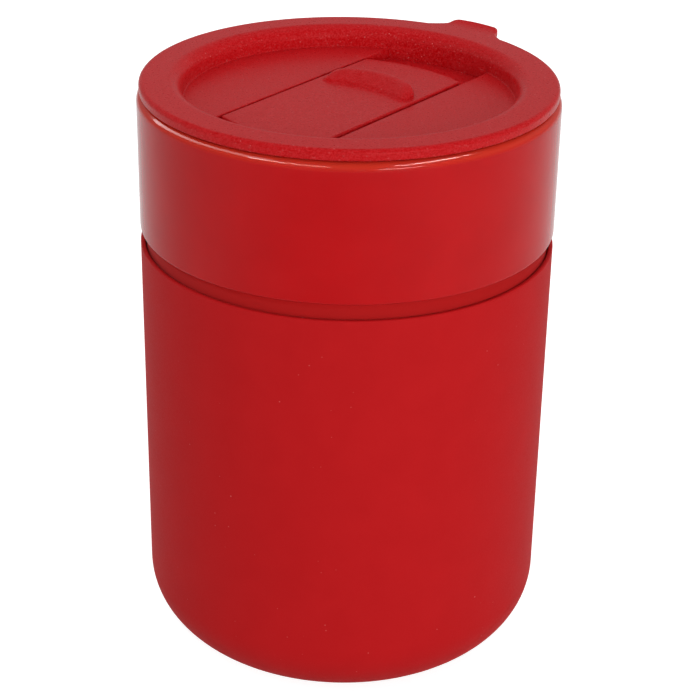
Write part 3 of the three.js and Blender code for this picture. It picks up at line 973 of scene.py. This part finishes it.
# Painted highlights: pale glints painted into the colour, sparse on all faces and denser on steep ones.
PAINTED_GLINT = (0.78, 0.22, 0.22, 1)
PAINTED_GLINT_SPACING = 1.5 * MM
PAINTED_GLINT_RADIUS = 0.14 * MM
PAINTED_WALL_GLINT_SPACING = 0.7 * MM
PAINTED_WALL_GLINT_RADIUS = 0.2 * MM
PAINTED_WALL_GLINT_SHARE = 0.26
# The height of a unit normal on a face that slopes by so many degrees.
STEEP = math.cos(math.radians(55))
LEVEL = math.cos(math.radians(20))

plastic, tree, shader = new_material("red_plastic")
where = add(tree, "ShaderNodeTexCoord").outputs
place = where["Object"]
upright = add(tree, "ShaderNodeSeparateXYZ", [("Vector", where["Normal"])]).outputs["Z"]
fine = noise(tree, place, FINE_GRAIN, detail=0)
coarse = noise(tree, place, COARSE_GRAIN)
tone = ranged(tree, fine, *NOISE_CORE, 0, 1)
# Painted glints: steep faces get more of them, level faces none of the dense ones.
painted_glint_steepness = ranged(tree, upright, STEEP, LEVEL, PAINTED_WALL_GLINT_SHARE, 0)
painted_glint_specks = specks(tree, place, PAINTED_WALL_GLINT_SPACING, PAINTED_WALL_GLINT_RADIUS)
painted_wall_glint = maths(tree, "MULTIPLY", painted_glint_specks, painted_glint_steepness)
painted_glint = maths(tree, "MAXIMUM", specks(tree, place, PAINTED_GLINT_SPACING, PAINTED_GLINT_RADIUS), painted_wall_glint)
body_colour = mixed(tree, tone, PLASTIC_DEEP, PLASTIC)
# The painted glints go into the base colour.
tree.links.new(mixed(tree, painted_glint, body_colour, PAINTED_GLINT), shader.inputs["Base Color"])
tree.links.new(ranged(tree, coarse, *NOISE_SPREAD, *PLASTIC_ROUGHNESS), shader.inputs["Roughness"])
both = maths(tree, "ADD", fine, maths(tree, "MULTIPLY", coarse, COARSE_SHARE))
tree.links.new(bumped(tree, both, GRAIN_HEIGHT), shader.inputs["Normal"])
shader.inputs["IOR"].default_value = PLASTIC_IOR
for made in (lid, shutter):
    made.data.materials.append(plastic)
print(plastic.name, len(tree.nodes), "nodes")

# %% [markdown]
# The set is a small white light tent. Its floor is a plain pale disc, so large that its edge is lost in the
# white. Stronger lamps could make it white, but they would bleach the mug too. So it is white to the camera
# by a glow of its own, which lights nothing, and it keeps the mug's shadow. Reflections show a share of that
# glow, except in a dark spot in front, where a camera stand would be.

# %% Floor
WHITE = (1, 1, 1, 1)
FLOOR_RADIUS = 6.0
FLOOR_SIDES = 96
FLOOR_COLOUR = (0.55, 0.55, 0.55, 1)
FLOOR_GLOW = 0.84
FLOOR_MIRRORED = 0.47
SPOT_TURN = -12
SPOT_DISTANCE = 245 * MM
SPOT_INSIDE = 50 * MM
SPOT_OUTSIDE = 220 * MM


def seen(tree, mirrored):
    """1 for the camera's rays and through glass, a given share in reflections, 0 for light on a surface."""
    path = tree.nodes.new("ShaderNodeLightPath").outputs
    direct = maths(tree, "MAXIMUM", path["Is Camera Ray"], path["Is Transmission Ray"])
    return maths(tree, "MAXIMUM", direct, maths(tree, "MULTIPLY", path["Is Glossy Ray"], mirrored))


floor_rings = revolved(np.array([(0, 0), (FLOOR_RADIUS, 0)]), FLOOR_SIDES)
floor = piece("floor", floor_rings, ring_faces(*floor_rings.shape[:2]))
pale, tree, shader = new_material("pale_floor")
shader.inputs["Base Color"].default_value = FLOOR_COLOUR
shader.inputs["Roughness"].default_value = 1.0
shader.inputs["Specular IOR Level"].default_value = 0.0
shader.inputs["Emission Color"].default_value = WHITE
place = add(tree, "ShaderNodeTexCoord").outputs["Object"]
distance = add(tree, "ShaderNodeVectorMath", [("Vector", place)])
distance.operation = "DISTANCE"
distance.inputs[1].default_value = SPOT_DISTANCE * towards(SPOT_TURN, 0)
beyond = ranged(tree, distance.outputs["Value"], SPOT_INSIDE, SPOT_OUTSIDE, 0, FLOOR_MIRRORED)
glow = maths(tree, "MULTIPLY", seen(tree, beyond), FLOOR_GLOW)
tree.links.new(glow, shader.inputs["Emission Strength"])
floor.data.materials.append(pale)
print("floor:", len(floor.data.polygons), "faces")

# %% [markdown]
# The world round the set is white to the camera in the same way. Reflections show a share of it low down,
# like the walls of the tent, and none overhead. On surfaces it gives a weak, even light that fills the
# shadows.

# %% World
WORLD_FILL = 0.3
WORLD_MIRRORED = 0.37
WALL_TOP = math.sin(math.radians(28))
OVERHEAD_FOOT = math.sin(math.radians(40))

world = bpy.data.worlds.new("studio")
world.use_nodes = True
tree = world.node_tree
background = tree.nodes["Background"]
background.inputs["Color"].default_value = WHITE
direction = add(tree, "ShaderNodeTexCoord").outputs["Generated"]
height = add(tree, "ShaderNodeSeparateXYZ", [("Vector", direction)]).outputs["Z"]
dome = ranged(tree, height, WALL_TOP, OVERHEAD_FOOT, WORLD_MIRRORED, 0)
glossy = tree.nodes.new("ShaderNodeLightPath").outputs["Is Glossy Ray"]
fill = ranged(tree, glossy, 0, 1, WORLD_FILL, 0)
tree.links.new(maths(tree, "MAXIMUM", seen(tree, dome), fill), background.inputs["Strength"])
bpy.context.scene.world = world
bpy.context.scene.view_settings.view_transform = "Standard"
print("world:", len(tree.nodes), "nodes")

# %% [markdown]
# Large soft panels give the light, and most of it comes from the front. An image of a studio on the world
# could give it too, but panels are easier to set one by one. They are kept out of reflections, which show
# the white surround instead. Narrow strips show only there, and only on the cup: they draw the bright lines
# on its glazed rim. A lamp's brightness is what a mirror would show of it, where 1 is white.

# %% Lamps
PANELS = [
    # name, degrees from the camera, elevation, distance, width, height, brightness
    ("panel_left", -95, 20, 1.0, 1.2, 1.0, 0.7),
    ("panel_right", 95, 20, 1.0, 1.2, 1.0, 0.3),
    ("panel_back", 180, 25, 1.0, 1.4, 1.0, 0.4),
    ("panel_top", 180, 65, 1.0, 1.2, 1.2, 0.9),
    ("panel_front", 0, 38, 1.1, 1.0, 0.6, 0.65),
    ("panel_front_low", 25, 14, 1.0, 0.7, 0.35, 6.7),
]
STRIP_DISTANCE = 0.9
STRIPS = [
    # name, degrees from the camera and elevation of one end, the same of the other end, width, brightness
    ("strip_far_left", (-132, 25), (-60, 55), 0.3, 8),
    ("strip_left", (-64, 47), (-12, 47), 0.05, 60),
    ("strip_right", (35, 57), (105, 57), 0.05, 80),
    ("strip_low", (15, 24), (39, 24), 0.04, 50),
]


def soft_lamp(name, away, along, width, height, brightness):
    """A rectangular lamp at a vector from the mug, which it faces, with its width along another vector.

    Its power is its brightness times pi times its area.
    """
    lamp = bpy.data.lights.new(name, "AREA")
    lamp.shape = "RECTANGLE"
    lamp.size = width
    lamp.size_y = height
    lamp.energy = brightness * math.pi * width * height
    made = bpy.data.objects.new(name, lamp)
    back = away.normalized()
    side = along.normalized()
    made.matrix_world = Matrix((side, back.cross(side), back)).transposed().to_4x4()
    made.location = ORBIT_CENTRE + away
    made.visible_camera = False
    bpy.context.scene.collection.objects.link(made)
    return made


for name, turn, elevation, distance, width, height, brightness in PANELS:
    level = towards(turn + 90, 0)
    panel = soft_lamp(name, distance * towards(turn, elevation), level, width, height, brightness)
    panel.visible_glossy = False
glazed_pieces = bpy.data.collections.new("glazed_pieces")
glazed_pieces.objects.link(cup)
for name, start, stop, width, brightness in STRIPS:
    first = STRIP_DISTANCE * towards(*start)
    last = STRIP_DISTANCE * towards(*stop)
    span = last - first
    strip = soft_lamp(name, (first + last) / 2, span, span.length, width, brightness)
    strip.visible_diffuse = False
    strip.light_linking.receiver_collection = glazed_pieces
print("lamps:", len(PANELS), "panels and", len(STRIPS), "strips")
